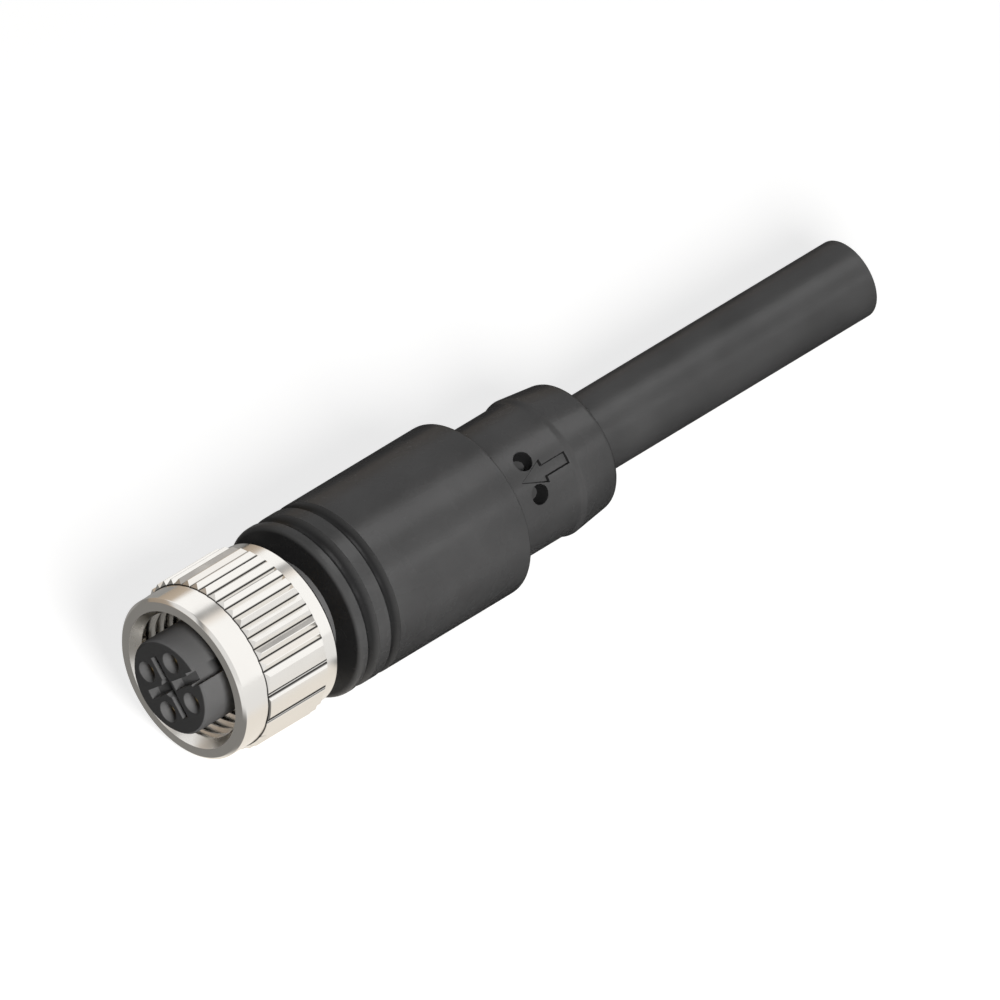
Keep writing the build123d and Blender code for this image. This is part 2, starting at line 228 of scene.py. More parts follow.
class GripSizes(bpy.types.PropertyGroup):
    """Sizes of the moulded grip"""
    radius: length("Radius", "Radius of the barrel", 7.5 * MM)
    front_bore: length("Front bore", "Radius of the hole in the front face", 4.77 * MM)
    front_round: length("Front rounding", "Rounding of the front edge", 0.5 * MM)
    groove_depth: length("Groove depth", "Depth of the two round grooves", 0.5 * MM)
    grooves_end: length("Grooves end", "Where the painted_shade front ends", 16.7 * MM)
    barrel_end: length("Barrel end", "Where the barrel ends", 30.9 * MM)
    barrel_round: length("Barrel rounding", "Rounding of the barrel's back edge", 0.3 * MM)
    neck_round: length("Neck rounding", "Rounding in the neck's front corner", 0.12 * MM)
    neck_radius: length("Neck radius", "Radius of the neck", 5.75 * MM)
    neck_end: length("Neck end", "Where the neck meets the collar", 37.8 * MM)
    slope_start: length("Slope start", "From the neck's end to the collar's slope", 0.2 * MM)
    slope_end: length("Slope end", "From the slope to the collar's widest place", 0.15 * MM)
    slope_round: length("Slope rounding", "Rounding at the slope's two ends", 0.16 * MM)
    collar_front: length("Collar front", "Where the collar is widest", 38.5 * MM)
    collar_radius: length("Collar radius", "Widest radius of the collar", 6.0 * MM)
    collar_end_radius: length("Collar end radius", "Radius at the collar's back", 5.5 * MM)
    collar_round: length("Collar rounding", "Rounding of the collar's back edge", 0.5 * MM)
    cable_bore: length("Cable bore", "Radius of the cable's way out", 3.37 * MM)
    bore_round: length("Bore rounding", "Rounding of the way out's edge", 0.08 * MM)
    bore_depth: length("Bore depth", "How deep the way out is modelled", 3 * MM)
    key_place: angle("Key place", "Where the arrow and keyway are, from the top", 48.2)
    arrow_tip: length("Arrow tip", "Where the arrow's tip is", 33.0 * MM)
    arrow_head_end: length("Arrow head end", "Where the arrow's head ends", 35.35 * MM)
    arrow_half_width: length("Head half width", "Half the width of the head", 0.96 * MM)
    shaft_half_width: length("Shaft half width", "Half the width of the shaft", 0.48 * MM)
    arrow_depth: length("Arrow depth", "Depth of the arrow", 0.25 * MM)
    mark_place: length("Mark place", "Where the two round marks are", 34.1 * MM)
    mark_angle: angle("Mark angle", "Angle from the arrow to each mark", 14.8)
    mark_radius: length("Mark radius", "Radius of the round marks", 0.775 * MM)
    mark_depth: length("Mark depth", "Depth of the round marks", 1.3 * MM)
    soft_edge: length("Soft edge", "Slope of the sunk edges", 0.10 * MM)
    plastic: colour("Plastic", "Colour of the grip", (0.068, 0.068, 0.069))
    # Painted shade: the grip's grooves, its front face in the nut's shade and the walls of its
    # sunk marks get this darker tone.
    groove: colour("Groove", "Colour of the grip in its grooves", (0.018, 0.018, 0.0185))


class CableSizes(bpy.types.PropertyGroup):
    """Sizes of the round cable"""
    radius: length("Radius", "Outer radius of the sheath", 3.35 * MM)
    wall: length("Wall", "Thickness of the sheath", 1.1 * MM)
    edge: length("Edge", "Rounding of the cut end's outer edge", 0.12 * MM)
    inner_edge: length("Inner edge", "Rounding of the cut end's inner edge", 0.05 * MM)
    bend_start: length("Bend start", "Where the wires leave the contacts' lines", 19.6 * MM)
    bend_end: length("Bend end", "Where the wires reach their lines in the cable", 26 * MM)
    strand_ring: IntProperty(name="Strands", description="Strands round the middle one", default=6)
    strand_turns: FloatProperty(
        name="Lay", description="Turns of the strands in a metre", default=70.0
    )
    sheath: colour("Sheath", "Colour of the sheath", (0.068, 0.068, 0.069))
    filling: colour("Filling", "Colour of the filling", (0.55, 0.54, 0.50))
    copper: colour("Copper", "Colour of the strands", (0.86, 0.45, 0.27))


class StageLooks(bpy.types.PropertyGroup):
    """Camera and light"""
    view_azimuth: angle("Azimuth", "Direction that the camera looks from", -44.3)
    view_elevation: angle("Elevation", "Height of the camera", 38.18)
    view_width: length("Width", "Width of the picture", 78.125 * MM)
    view_right: length("Right", "Picture centre, right of the origin", 24.841 * MM)
    view_up: length("Up", "Picture centre, above the origin", 14.073 * MM)
    floor_reach: length("Floor reach", "Half the width of the floor", 1.2)
    floor_tone: colour("Floor", "Colour of the floor as it is mirrored", (0.37, 0.365, 0.355))
    white_near: length("White near", "Where the floor starts to grow whiter", 110 * MM)
    white_far: length("White far", "Where the floor is as white as it gets", 230 * MM)
    surround_light: FloatProperty(
        name="Surround", description="Strength of the even light all round", default=0.06
    )


# Outlines and meshes

def rounded(corners, steps=4):
    """An outline's points, where each corner is place, radius and the size of its rounding."""
    points = []
    for i, (x, r, size) in enumerate(corners):
        here = Vector((x, r))
        if not size or i in (0, len(corners) - 1):
            points.append(here)
            continue
        before = (Vector(corners[i - 1][:2]) - here).normalized() * size
        after = (Vector(corners[i + 1][:2]) - here).normalized() * size
        for k in range(steps + 1):
            t = k / steps
            points.append(here + before * (1 - t) ** 2 + after * t ** 2)
    return points


def dented(start, end, radius, depth):
    """Points of a round groove of an arc's section, between two places on a cylinder."""
    steps = 14
    half = (end - start) / 2
    bow = (half * half + depth * depth) / (2 * depth)
    lean = atan2(half, bow - depth)
    points = []
    for k in range(steps + 1):
        turn = lean * (2 * k / steps - 1)
        points.append(Vector(((start + end) / 2 + bow * sin(turn), radius - depth
                              + bow * (1 - cos(turn)))))
    return points


def around(x, turn, radius):
    """A point at a place on the axis, an angle from the top towards -Y, and a radius."""
    return Vector((x, -radius * sin(turn), radius * cos(turn)))


def grid_mesh(name, rings, closed_outline=False):
    """A mesh from rings of points that each go once round the axis."""
    mesh = bpy.data.meshes.new(name)
    count = len(rings[0])
    points = [point for ring in rings for point in ring]
    spans = len(rings) if closed_outline else len(rings) - 1
    faces = []
    for i in range(spans):
        low = i * count
        high = ((i + 1) % len(rings)) * count
        for j in range(count):
            k = (j + 1) % count
            faces.append((low + j, low + k, high + k, high + j))
    mesh.from_pydata(points, [], faces)
    return mesh


def lathe(name, outline, steps):
    """A mesh turned about the axis from a closed outline of places and radii."""
    turns = [2 * pi * k / steps for k in range(steps)]
    rings = [[around(x, turn, r) for turn in turns] for x, r in outline]
    return grid_mesh(name, rings, closed_outline=True)


def tidy(mesh, sharp=35.0):
    """Merges doubles, points the faces outwards and keeps only real edges sharp."""
    work = bmesh.new()
    work.from_mesh(mesh)
    bmesh.ops.remove_doubles(work, verts=work.verts, dist=MERGE)
    bmesh.ops.recalc_face_normals(work, faces=work.faces)
    work.to_mesh(mesh)
    work.free()
    mesh.polygons.foreach_set("use_smooth", [True] * len(mesh.polygons))
    mesh.set_sharp_from_angle(angle=radians(sharp))
    mesh.update()
    return mesh


def add_object(name, data):
    """A new object in the scene."""
    piece = bpy.data.objects.new(name, data)
    bpy.context.scene.collection.objects.link(piece)
    return piece


def paint(mesh, material):
    """Gives a mesh one material."""
    mesh.materials.clear()
    mesh.materials.append(material)


def put(name, mesh, material, body):
    """Places a finished piece on its body with its material and slot."""
    piece = add_object(name, mesh)
    paint(mesh, material)
    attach(piece, body)
    return piece


def soften(node, width, sharp):
    """Rounds a CAD node's sharp edges a little, with its own shape kept."""
    piece = nodes[node]
    weld = piece.modifiers.new("weld", "WELD")
    weld.merge_threshold = CAD_MERGE
    bevel = piece.modifiers.new("edges", "BEVEL")
    bevel.width = width
    bevel.segments = 2
    bevel.limit_method = "ANGLE"
    bevel.angle_limit = radians(sharp)
    bevel.harden_normals = True


def baked(piece, name):
    """The piece's finished mesh, with its node tree run; the piece itself is removed."""
    graph = bpy.context.evaluated_depsgraph_get()
    mesh = bpy.data.meshes.new_from_object(piece.evaluated_get(graph))
    mesh.name = name
    bpy.data.objects.remove(piece)
    return mesh


# Node trees

FLOAT = "NodeSocketFloat"
COLOUR = "NodeSocketColor"
WHOLE = "NodeSocketInt"
GEOMETRY = "NodeSocketGeometry"


def new_group(name, kind, inputs, outputs):
    """An empty node group with named inputs and outputs, and what its inputs bring."""
    group = bpy.data.node_groups.new(name, kind)
    for label, socket_type, *default in inputs:
        socket = group.interface.new_socket(label, in_out="INPUT", socket_type=socket_type)
        if default:
            socket.default_value = default[0]
    for label, socket_type in outputs:
        group.interface.new_socket(label, in_out="OUTPUT", socket_type=socket_type)
    return group, group.nodes.new("NodeGroupInput").outputs


def feed(tree, socket, value):
    """Links a socket to another node's output, or sets it to a plain value."""
    if isinstance(value, bpy.types.NodeSocket):
        tree.links.new(value, socket)
    else:
        socket.default_value = value


def add_node(tree, kind, inputs=None, **settings):
    """A node with its settings made and its inputs set or linked."""
    node = tree.nodes.new(kind)
    for name, value in settings.items():
        setattr(node, name, value)
    for label, value in (inputs or {}).items():
        feed(tree, node.inputs[label], value)
    return node


def math_node(tree, operation, first, second=0.0):
    """The result of a maths node."""
    return add_node(tree, "ShaderNodeMath", {0: first, 1: second}, operation=operation).outputs[0]


def spread(tree, value, low, high, to_low=0.0, to_high=1.0, kind="LINEAR"):
    """A value's place between two ends, as a value between two others."""
    return add_node(tree, "ShaderNodeMapRange", {
        "Value": value,
        "From Min": low,
        "From Max": high,
        "To Min": to_low,
        "To Max": to_high,
    }, interpolation_type=kind).outputs["Result"]


def mix_colours(tree, share, first, second, blend="MIX"):
    """Two colours, mixed by a share."""
    return add_node(tree, "ShaderNodeMix", {"Factor": share, "A": first, "B": second},
                    data_type="RGBA", blend_type=blend).outputs["Result"]


# Geometry trees

def new_tree(name, inputs):
    """An empty geometry tree with named inputs, and what they bring."""
    shape = ("Geometry", GEOMETRY)
    return new_group(name, "GeometryNodeTree", [shape, *inputs], [shape])


def run_tree(tree, name, source, values):
    """Runs a geometry tree on an object and returns the plain mesh that it makes."""
    modifier = source.modifiers.new(name, "NODES")
    modifier.node_group = tree
    for item in tree.interface.items_tree:
        if item.item_type == "SOCKET" and item.in_out == "INPUT" and item.name in values:
            modifier[item.identifier] = values[item.name]
    bpy.context.view_layer.update()
    return baked(source, name)


def finish_tree(tree, geometry, material):
    """Ends a tree in Realize Instances and Set Material."""
    realize = add_node(tree, "GeometryNodeRealizeInstances", {"Geometry": geometry})
    setter = add_node(tree, "GeometryNodeSetMaterial", {
        "Geometry": realize.outputs["Geometry"],
        "Material": material,
    })
    add_node(tree, "NodeGroupOutput", {"Geometry": setter.outputs["Geometry"]})
    return tree


def sweep(tree, path, section, material):
    """Sweeps a section along a path, with closed ends, and ends the tree."""
    swept = add_node(tree, "GeometryNodeCurveToMesh", {
        "Curve": path.outputs[0],
        "Profile Curve": section.outputs[0],
        "Fill Caps": True,
    })
    return finish_tree(tree, swept.outputs[0], material)


def teeth_tree(material):
    """Copies one tooth round the axis, an even angle apart."""
    tree, given = new_tree("knurl teeth", [
        ("Count", WHOLE, 38),
        ("First angle", FLOAT, 0.0),
        ("Step angle", FLOAT, 0.1),
    ])
    points = add_node(tree, "GeometryNodePoints", {"Count": given["Count"]})
    index = add_node(tree, "GeometryNodeInputIndex").outputs[0]
    step = math_node(tree, "MULTIPLY", index, given["Step angle"])
    turn = math_node(tree, "ADD", step, given["First angle"])
    copies = add_node(tree, "GeometryNodeInstanceOnPoints", {
        "Points": points.outputs[0],
        "Instance": given["Geometry"],
        "Rotation": add_node(tree, "ShaderNodeCombineXYZ", {"X": turn}).outputs[0],
    })
    return finish_tree(tree, copies.outputs["Instances"], material)


def thread_tree(material):
    """Sweeps a thread's ridge along a spiral."""
    tree, given = new_tree("thread ridge", [
        ("Turns", FLOAT, 5.0),
        ("Pitch", FLOAT, MM),
        ("Root radius", FLOAT, 6 * MM),
        ("Height", FLOAT, 0.54 * MM),
        ("Base", FLOAT, 0.86 * MM),
        ("Crest", FLOAT, 0.16 * MM),
        ("Steps", WHOLE, 64),
    ])
    middle = math_node(tree, "SUBTRACT", given["Root radius"],
                       math_node(tree, "MULTIPLY", given["Height"], 0.5))
    spiral = add_node(tree, "GeometryNodeCurveSpiral", {
        "Resolution": given["Steps"],
        "Rotations": given["Turns"],
        "Start Radius": middle,
        "End Radius": middle,
        "Height": math_node(tree, "MULTIPLY", given["Turns"], given["Pitch"]),
    })
    upright = add_node(tree, "GeometryNodeSetCurveNormal", {"Curve": spiral.outputs[0]},
                       mode="Z_UP")
    ridge = add_node(tree, "GeometryNodeCurvePrimitiveQuadrilateral", {
        "Offset": 0.0,
        "Height": given["Height"],
        "Bottom Width": given["Base"],
        "Top Width": given["Crest"],
    }, mode="TRAPEZOID")
    lay = add_node(tree, "GeometryNodeTransform", {
        "Geometry": ridge.outputs[0],
        "Rotation": (0, 0, -pi / 2),
    })
    return sweep(tree, upright, lay, material)


def strand_tree(material):
    """Sweeps a middle strand and the ring of strands round it, with a steady lay."""
    tree, given = new_tree("wire strands", [
        ("Strand radius", FLOAT, 0.1 * MM),
        ("Ring strands", WHOLE, 6),
        ("Turns in a metre", FLOAT, 70.0),
    ])
    along = add_node(tree, "GeometryNodeSplineParameter").outputs["Length"]
    lay = math_node(tree, "MULTIPLY", along,
                    math_node(tree, "MULTIPLY", given["Turns in a metre"], 2 * pi))
    tilt = add_node(tree, "GeometryNodeSetCurveTilt", {"Curve": given["Geometry"], "Tilt": lay})
    strand = add_node(tree, "GeometryNodeCurvePrimitiveCircle", {
        "Resolution": 10,
        "Radius": given["Strand radius"],
    })
    ring = add_node(tree, "GeometryNodeMeshCircle", {
        "Vertices": given["Ring strands"],
        "Radius": math_node(tree, "MULTIPLY", given["Strand radius"], STRAND_RING),
    })
    copies = add_node(tree, "GeometryNodeInstanceOnPoints", {
        "Points": ring.outputs[0],
        "Instance": strand.outputs[0],
    })
    bundle = add_node(tree, "GeometryNodeJoinGeometry", {0: copies.outputs[0]})
    tree.links.new(strand.outputs[0], bundle.inputs[0])
    section = add_node(tree, "GeometryNodeRealizeInstances", {"Geometry": bundle.outputs[0]})
    return sweep(tree, tilt, section, material)


# Shader groups and materials

def shared(name, make):
    """The shader group of that name, made on first use."""
    return bpy.data.node_groups.get(name) or make()


def object_place(tree):
    """A piece's own coordinates, whole and split into X, Y and Z."""
    place = add_node(tree, "ShaderNodeTexCoord").outputs["Object"]
    return place, add_node(tree, "ShaderNodeSeparateXYZ", {"Vector": place}).outputs


def group_noise(group, place, scale, detail):
    """A noise texture inside a group."""
    return add_node(group, "ShaderNodeTexNoise", {
        "Vector": place,
        "Scale": scale,
        "Detail": detail,
    }).outputs["Fac"]


def moulded_group():
    """Fine eroded grain, slow tone drift and uneven gloss of a moulded plastic."""
    group, given = new_group("moulded surface", "ShaderNodeTree", [
        ("Colour", COLOUR, (0.1, 0.1, 0.1, 1)),
        ("Grain size", FLOAT, 4000.0),
        ("Gloss low", FLOAT, 0.4),
        ("Gloss high", FLOAT, 0.6),
    ], [("Colour", COLOUR), ("Roughness", FLOAT), ("Height", FLOAT)])
    place = add_node(group, "ShaderNodeTexCoord").outputs["Object"]
    drift = spread(group, group_noise(group, place, 180.0, 2.0), NOISE_LOW, NOISE_HIGH, 0.90, 1.10)
    smear = group_noise(group, place, 520.0, 4.0)
    add_node(group, "NodeGroupOutput", {
        "Colour": mix_colours(group, 1.0, given["Colour"], drift, "MULTIPLY"),
        "Roughness": spread(group, smear, NOISE_LOW, NOISE_HIGH, given["Gloss low"],
                            given["Gloss high"]),
        "Height": group_noise(group, place, given["Grain size"], 3.0),
    })
    return group


def turned_group():
    """Fine tool marks of a turned part, in rings round the axis, with faint smears."""
    group, given = new_group("turned surface", "ShaderNodeTree", [
        ("Mark spacing", FLOAT, TOOL_MARKS),
        ("Gloss low", FLOAT, 0.10),
        ("Gloss high", FLOAT, 0.22),
    ], [("Roughness", FLOAT), ("Height", FLOAT)])
    place, split = object_place(group)
    rings = add_node(group, "ShaderNodeCombineXYZ", {
        "X": split["X"],
        "Y": distance_from_axis(group, split),
    })
    smear = group_noise(group, place, 400.0, 3.0)
    add_node(group, "NodeGroupOutput", {
        "Roughness": spread(group, smear, NOISE_LOW, NOISE_HIGH, given["Gloss low"],
                            given["Gloss high"]),
        "Height": group_noise(group, rings.outputs[0], given["Mark spacing"], 2.0),
    })
    return group


def distance_from_axis(group, split):
    """The distance from the X axis of a place that has been split into its parts."""
    across = [math_node(group, "MULTIPLY", split[part], split[part]) for part in ("Y", "Z")]
    return math_node(group, "SQRT", math_node(group, "ADD", *across))


def place_along_axis(group, split):
    """The X of a place that has been split into its parts."""
    return split["X"]


def second_tone_group(name, measure):
    """A colour that goes from a second tone at one place to the material's own at another."""
    group, given = new_group(name, "ShaderNodeTree", [
        ("Own tone", COLOUR, (0.8, 0.8, 0.8, 1)),
        ("Second tone", COLOUR, (0.1, 0.1, 0.1, 1)),
        ("Second place", FLOAT, 7.05 * MM),
        ("Own place", FLOAT, 7.1 * MM),
    ], [("Colour", COLOUR)])
    split = object_place(group)[1]
    share = spread(group, measure(group, split), given["Second place"], given["Own place"])
    add_node(group, "NodeGroupOutput", {
        "Colour": mix_colours(group, share, given["Second tone"], given["Own tone"]),
    })
    return group


def new_material(name, tone, roughness, metallic=0.0):
    """A material with plain values on its shader's own sockets, its tree and its shader."""
    material = bpy.data.materials.new(name)
    material.use_nodes = True
    shader = material.node_tree.nodes["Principled BSDF"]
    shader.inputs["Base Color"].default_value = (*tone, 1.0)
    shader.inputs["Roughness"].default_value = roughness
    shader.inputs["Metallic"].default_value = metallic
    return material, material.node_tree, shader


def link_surface(tree, shader, surface, depth):
    """Links a surface group's roughness, and its height as the shader's normal."""
    bump = add_node(tree, "ShaderNodeBump", {
        "Distance": depth,
        "Height": surface.outputs["Height"],
    })
    tree.links.new(surface.outputs["Roughness"], shader.inputs["Roughness"])
    tree.links.new(bump.outputs["Normal"], shader.inputs["Normal"])


def plastic(name, tone, gloss, grain_size=4500.0, grain_depth=0.006 * MM, mirror=0.08):
    """A moulded plastic with its own colour, gloss range, grain and strength of reflection."""
    material, tree, shader = new_material(name, tone, sum(gloss) / 2)
    shader.inputs["Specular IOR Level"].default_value = mirror
    surface = add_node(tree, "ShaderNodeGroup", {
        "Colour": (*tone, 1.0),
        "Grain size": grain_size,
        "Gloss low": gloss[0],
        "Gloss high": gloss[1],
    }, node_tree=shared("moulded surface", moulded_group))
    tree.links.new(surface.outputs["Colour"], shader.inputs["Base Color"])
    link_surface(tree, shader, surface, grain_depth)
    return material


def metal(name, tone, gloss):
    """A turned metal with fine rings of tool marks."""
    material, tree, shader = new_material(name, tone, sum(gloss) / 2, metallic=1.0)
    surface = add_node(tree, "ShaderNodeGroup", {
        "Mark spacing": TOOL_MARKS,
        "Gloss low": gloss[0],
        "Gloss high": gloss[1],
    }, node_tree=shared("turned surface", turned_group))
    link_surface(tree, shader, surface, TOOL_MARK_DEPTH)
    return material


def second_tone(material, name, measure, tone, second_place, own_place):
    """Gives a material a second tone at one place, which fades to its own at another."""
    tree = material.node_tree
    base = tree.nodes["Principled BSDF"].inputs["Base Color"]
    own = base.links[0].from_socket if base.is_linked else tuple(base.default_value)
    surface = add_node(tree, "ShaderNodeGroup", {
        "Own tone": own,
        "Second tone": (*tone, 1.0),
        "Second place": second_place,
        "Own place": own_place,
    }, node_tree=shared(name, lambda: second_tone_group(name, measure)))
    tree.links.new(surface.outputs["Colour"], base)
    return material


def paint_valley_shade(material, tone, valley_radius, clean_radius):
    """Paints shade into a material's valleys or grooves: a darker tone by distance from the axis.
    """
    return second_tone(material, "valley tone", distance_from_axis, tone, valley_radius,
                       clean_radius)


def paint_front_shade(material, tone, front, behind):
    """Paints shade on a material's front face: a darker tone there than on the rest."""
    return second_tone(material, "front tone", place_along_axis, tone, front, behind)


# The coupling nut

def nut_shell_outline(s):
    """The nut's section without its knurl and thread, closed, starting at the front face."""
    r = s.round_over
    outer = s.ring_radius
    return rounded([
        (0, s.mouth_radius, 0),
        (0, outer - s.ring_edge, r),
        (s.ring_edge, outer, r),
        (NUT_BACK - s.ring_edge, outer, r),
        (NUT_BACK, outer - s.ring_edge, r),
        (NUT_BACK, s.bore_radius + s.bore_edge, r),
        (NUT_BACK - s.bore_edge, s.bore_radius, r),
        (s.groove_end, s.bore_radius, r),
        (s.groove_end, s.groove_radius, 0),
        (s.groove_start, s.groove_radius, 0),
        (s.groove_start, s.bore_radius, r),
        (s.relief_end, s.bore_radius, r),
        (s.relief_end, s.relief_radius, r),
        (s.thread_end, s.relief_radius, r),
        (s.thread_end, s.thread_root, r),
        (s.mouth_depth + s.lead_end, s.thread_root, 0),
        (s.mouth_depth + s.lead_flat, s.thread_core, 0),
        (s.mouth_depth, s.thread_core, 0),
    ])


def band_mesh(s, name, section, place, corner):
    """A piece of the knurled band, with sloping ends that are cut into triangles from a corner."""
    slope = s.ramp / (s.crest_radius - s.ring_radius)
    count = len(section)
    points = []
    for end, inward in ((s.band_start, 1), (s.band_end, -1)):
        for turn, radius in section:
            rise = max(radius - s.ring_radius, 0.0) * slope
            points.append(around(end + inward * rise, place + turn, radius))
    faces = [(j, j + 1, count + j + 1, count + j) for j in range(count - 1)]
    faces.append([(corner - k) % count for k in range(count)])
    faces.append([count + (k - corner - 1) % count for k in range(count)])
    mesh = bpy.data.meshes.new(name)
    mesh.from_pydata(points, [], faces)
    return mesh


def tooth_mesh(s):
    """One tooth of the knurl, with a narrow flat on its crest."""
    half = pi / s.teeth
    foot = s.ring_radius - s.tooth_foot
    flat = s.crest_flat / 2 / s.crest_radius
    side = [(half, foot), (half, s.root_radius), (flat, s.crest_radius)]
    section = [(-turn, radius) for turn, radius in side] + side[::-1]
    return tidy(band_mesh(s, "tooth", section, 0.0, 0), 25.0)


def land_mesh(s):
    """The index land, the two flutes beside it and half a tooth at each side of them."""
    pitch = 2 * pi / s.teeth
    half_gap = s.gap_teeth * pitch / 2
    half_land = s.land_angle / 2
    outer = half_gap + pitch / 2
    steps = 12
    crown = s.root_radius + s.flute_crown
    side = [(outer, s.ring_radius - s.tooth_foot), (outer, s.root_radius),
            (half_gap, s.crest_radius), (s.flute_far / 2 + s.flute_lip, crown),
            (s.flute_far / 2, s.root_radius), ((s.flute_far + s.flute_near) / 4, crown),
            (s.flute_near / 2, s.root_radius), (half_land, s.land_radius)]
    section = [(-turn, radius) for turn, radius in side]
    section += [(half_land * (2 * k / steps - 1), s.land_radius) for k in range(1, steps)]
    section += side[::-1]
    mesh = band_mesh(s, "index land", section, s.land_place, -1)
    work = bmesh.new()
    work.from_mesh(mesh)
    bmesh.ops.triangulate(work, faces=[f for f in work.faces if len(f.verts) > 4])
    work.to_mesh(mesh)
    work.free()
    return tidy(mesh, 12.0)


def make_nut_shell(s, polished):
    """The turned body of the nut, with a satin cone in its mouth."""
    shell = tidy(lathe("nut shell", nut_shell_outline(s), NUT_STEPS), 20.0)
    nickel = metal("nickel plate", s.plate, polished)
    body = put("coupling_nut_shell", shell, nickel, NUT_BODY)
    shell.materials.append(metal("satin nickel", s.plate, (0.24, 0.34)))
    for face in shell.polygons:
        depth, across = face.center.x, face.center.yz.length
        if depth < s.mouth_depth + s.lead_flat and across < s.mouth_radius:
            face.material_index = 1
    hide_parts("coupling_nut")


def make_knurl(s, polished):
    """The knurl's teeth and the index land."""
    # The knurl's roots and the land's flutes get painted shade, darker towards the root radius.
    ridged = paint_valley_shade(metal("knurled nickel", s.plate, polished), s.valley_shade,
                         *(s.root_radius + height for height in KNURL_PAINTED_SHADE))
    pitch = 2 * pi / s.teeth
    half_gap = s.gap_teeth * pitch / 2
    tooth = add_object("tooth", tooth_mesh(s))
    knurl = run_tree(teeth_tree(ridged), "nut knurl", tooth, {
        "Count": s.teeth - s.gap_teeth - 1,
        "First angle": s.land_place + half_gap + pitch,
        "Step angle": pitch,
    })
    put("coupling_nut_knurl", knurl, ridged, NUT_BODY)
    put("coupling_nut_land", land_mesh(s), ridged, NUT_BODY)


def make_thread(s):
    """The thread's ridge inside the nut."""
    # The thread's roots get painted shade, darker towards the root radius.
    cut = paint_valley_shade(metal("threaded nickel", s.plate, (0.16, 0.28)), s.valley_shade,
                      *(s.thread_root - depth for depth in THREAD_PAINTED_SHADE))
    start = s.mouth_depth + s.thread_pitch / 2
    blank = add_object("thread", bpy.data.meshes.new("thread"))
    thread = run_tree(thread_tree(cut), "nut thread", blank, {
        "Turns": (s.thread_end - start) / s.thread_pitch,
        "Pitch": s.thread_pitch,
        "Root radius": s.thread_root,
        "Height": s.thread_root - s.thread_core,
    })
    lie_along = Matrix(((0, 0, 1, 0), (1, 0, 0, 0), (0, 1, 0, 0), (0, 0, 0, 1)))
    thread.transform(Matrix.Translation((start, 0, 0)) @ lie_along)
    put("coupling_nut_thread", tidy(thread), cut, NUT_BODY)


class SENSORCABLE_OT_nut(bpy.types.Operator):
    """Make the knurled coupling nut with its thread"""
    bl_idname = "sensorcable.nut"
    bl_label = "Coupling nut"

    def execute(self, context):
        s = context.scene.sensorcable_nut
        polished = (0.10, 0.20)
        make_nut_shell(s, polished)
        make_knurl(s, polished)
        make_thread(s)
        return {"FINISHED"}


# The insert and its contacts

class SENSORCABLE_OT_insert(bpy.types.Operator):
    """Finish the insert, its contacts and the small parts round it"""
    bl_idname = "sensorcable.insert"
    bl_label = "Insert and contacts"

    def execute(self, context):
        s = context.scene.sensorcable_insert
        moulded = plastic("insert plastic", s.plastic, gloss=(0.45, 0.6), mirror=0.02)
        insert = nodes["contact_carrier"]
        # The mating face gets the darker tone as painted shade.
        paint(insert.data, paint_front_shade(
            moulded, s.face, INSERT_FRONT + s.edge, INSERT_FRONT + 3 * s.edge))
        soften("contact_carrier", s.edge, sharp=20.0)
        insert.visible_glossy = False
        gold = metal("contact gold", s.gold, gloss=(0.16, 0.3))
        for number in range(1, len(CORE_TONES) + 1):
            paint(nodes[f"socket_contact_{number}"].data, gold)
        for node, material in (
            ("snap_ring", metal("spring steel", s.steel, gloss=(0.2, 0.35))),
            ("seal_ring", plastic("seal rubber", s.rubber, gloss=(0.3, 0.5))),
            ("inner_mould", plastic("inner plastic", s.inner, gloss=(0.4, 0.6))),
        ):
            paint(nodes[node].data, material)
        return {"FINISHED"}


# The grip

def steps_between(low, high, step):
    """Even places from low up to, and without, high."""
    count = max(1, ceil((high - low) / step))
    return [low + (high - low) * k / count for k in range(count)]


def smooth_step(value):
    """0 below 0, 1 above 1 and an even curve between."""
    t = min(max(value, 0.0), 1.0)
    return t * t * (3 - 2 * t)


def arrow_cover(s, x, across):
    """How far inside the arrow's outline a point is, in metres; less than 0 is outside."""
    side = abs(across)
    head_length = s.arrow_head_end - s.arrow_tip
    lean = s.arrow_half_width / head_length
    edge = ((x - s.arrow_tip) * lean - side) / sqrt(1 + lean * lean)
    head = min(edge, s.arrow_head_end - x)
    shaft = min(s.shaft_half_width - side, x - s.arrow_head_end + s.arrow_half_width,
                s.neck_end - x)
    return max(head, shaft)


def sunk(s, x, turn, radius):
    """The grip's radius once the arrow and the two round marks are sunk into it."""
    marked = s.arrow_tip - MARK_MARGIN < x < s.collar_front
    if not marked or abs(turn) > MARK_REACH * s.mark_angle:
        return radius
    across = s.neck_radius * turn
    arrow = smooth_step(0.5 + arrow_cover(s, x, across) / s.soft_edge)
    floor = s.neck_radius - s.arrow_depth
    radius = radius + (min(floor, radius) - radius) * arrow
    for side in (-1, 1):
        gap = sqrt((x - s.mark_place) ** 2
                   + (s.neck_radius * (turn - side * s.mark_angle)) ** 2)
        mark = smooth_step(0.5 + (s.mark_radius - gap) / s.soft_edge)
        radius -= mark * (radius - s.neck_radius + s.mark_depth)
    return radius


